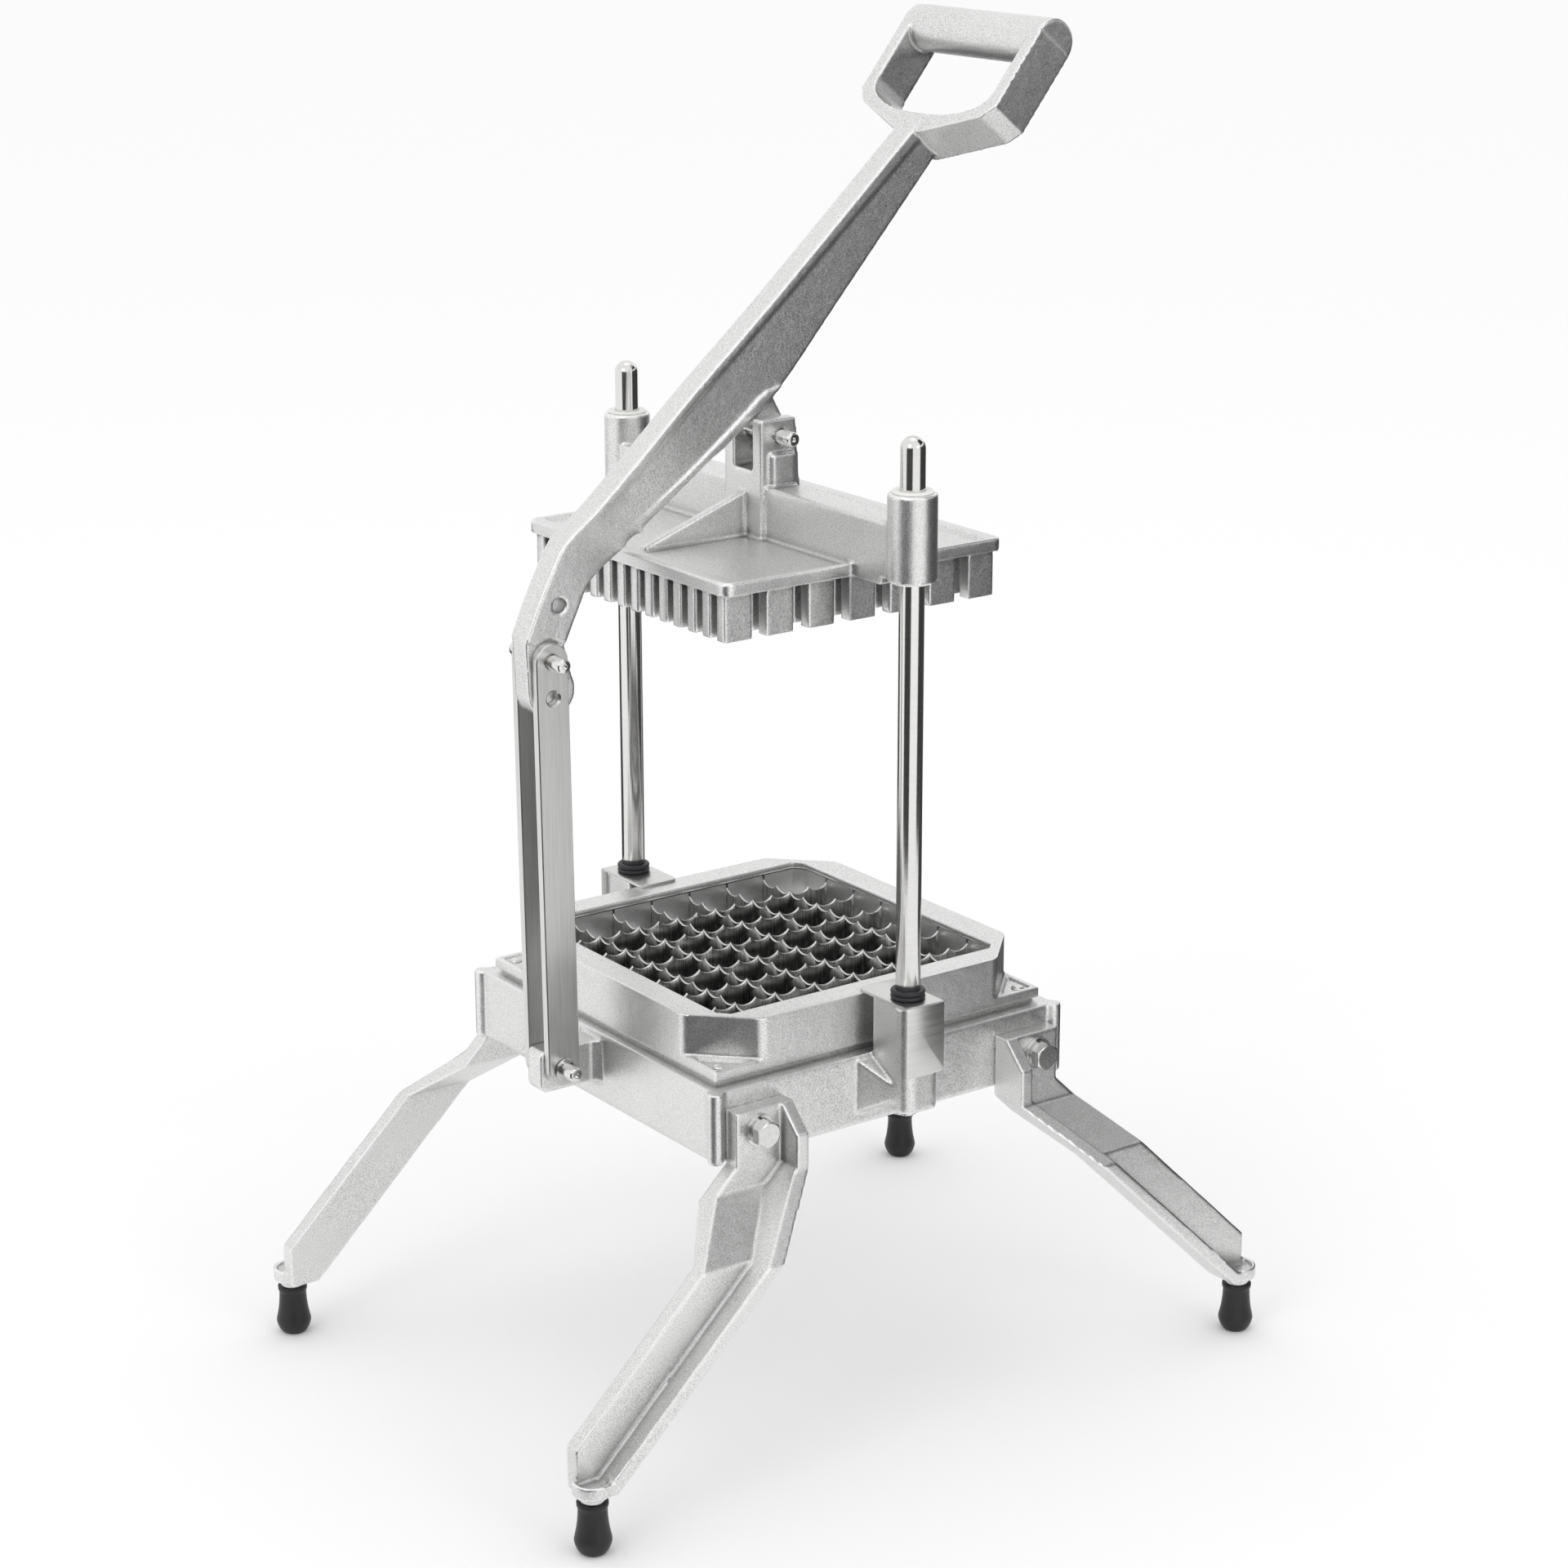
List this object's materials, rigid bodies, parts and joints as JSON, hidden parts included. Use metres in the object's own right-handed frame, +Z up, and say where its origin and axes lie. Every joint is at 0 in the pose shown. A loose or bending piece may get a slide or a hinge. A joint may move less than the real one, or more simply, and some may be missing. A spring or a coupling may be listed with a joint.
{
  "type": "lever vegetable cutter",
  "caption": "Countertop lever press: scalloped egg-crate blade grid, fingered push head on guide rods, D-handle lever with twin-bar link, cast legs on rubber feet.",
  "frame": {"origin": "on the worktop, at the centre of the base and of the four feet", "axes": "+Z up, X in the plane of the lever with the link at -X and the handle leaning to +X, Y from rod to rod"},
  "size_m": [0.4448, 0.325, 0.7116],
  "materials": {
    "cast_aluminium": "sand cast and tumbled, fine satin grain with brighter worn edges",
    "ground_steel": "ground and polished stainless rod",
    "sheet_steel": "brushed flat stainless",
    "blade_steel": "thin ground blade steel, bright cutting edge",
    "zinc_steel": "zinc plated fasteners",
    "foot_rubber": "moulded satin black rubber",
    "bumper_rubber": "black rubber ring",
    "white_nylon": "moulded white nylon"
  },
  "bodies": {
    "base": {"base_frame": "cast_aluminium", "leg_link_near": "cast_aluminium", "leg_link_far": "cast_aluminium", "leg_grip_near": "cast_aluminium", "leg_grip_far": "cast_aluminium", "leg_bolts": "zinc_steel", "leg_flat_washers": "zinc_steel", "leg_spring_washers": "zinc_steel", "leg_nuts": "zinc_steel", "foot_studs": "zinc_steel", "foot_link_near": "foot_rubber", "foot_link_far": "foot_rubber", "foot_grip_near": "foot_rubber", "foot_grip_far": "foot_rubber", "guide_rod_near": "ground_steel", "guide_rod_far": "ground_steel", "rod_screws": "zinc_steel", "rod_bumpers": "bumper_rubber", "bracket_near": "sheet_steel", "bracket_far": "sheet_steel", "blade_frame": "cast_aluminium", "frame_rivets": "zinc_steel", "blade_holder": "cast_aluminium", "blades_lever_way": "blade_steel", "blades_rod_way": "blade_steel", "lower_link_pin": "ground_steel", "lower_pin_clips": "zinc_steel"},
    "link": {"link_bar_near": "sheet_steel", "link_bar_far": "sheet_steel", "upper_link_pin": "ground_steel", "upper_pin_clip": "zinc_steel"},
    "head": {"fingers": "cast_aluminium", "finger_plate": "cast_aluminium", "push_head": "cast_aluminium", "bushes_near": "white_nylon", "bushes_far": "white_nylon", "clevis_pin": "ground_steel", "clevis_pin_clip": "zinc_steel"},
    "lever": {"lever": "cast_aluminium"}
  },
  "joints": [
    {"name": "lever_pivot", "type": "hinge", "parent": "link", "child": "lever", "pos_m": [-0.1375, 0, 0.40799], "axis": [0, 1, 0], "range_deg": [0, 74.5]},
    {"name": "link_pivot", "type": "hinge", "parent": "base", "child": "link", "pos_m": [-0.135, 0, 0.19], "axis": [0, 1, 0], "range_deg": [0, 3.2]},
    {"name": "head_slide", "type": "slide", "parent": "base", "child": "head", "axis": [0, 0, -1], "range_m": [0, 0.2119]}
  ],
  "couplings": [
    {"joint": "link_pivot", "follows": "lever_pivot", "ratio": 0.041717},
    {"joint": "head_slide", "follows": "lever_pivot", "m_per_rad": 0.16292}
  ]
}
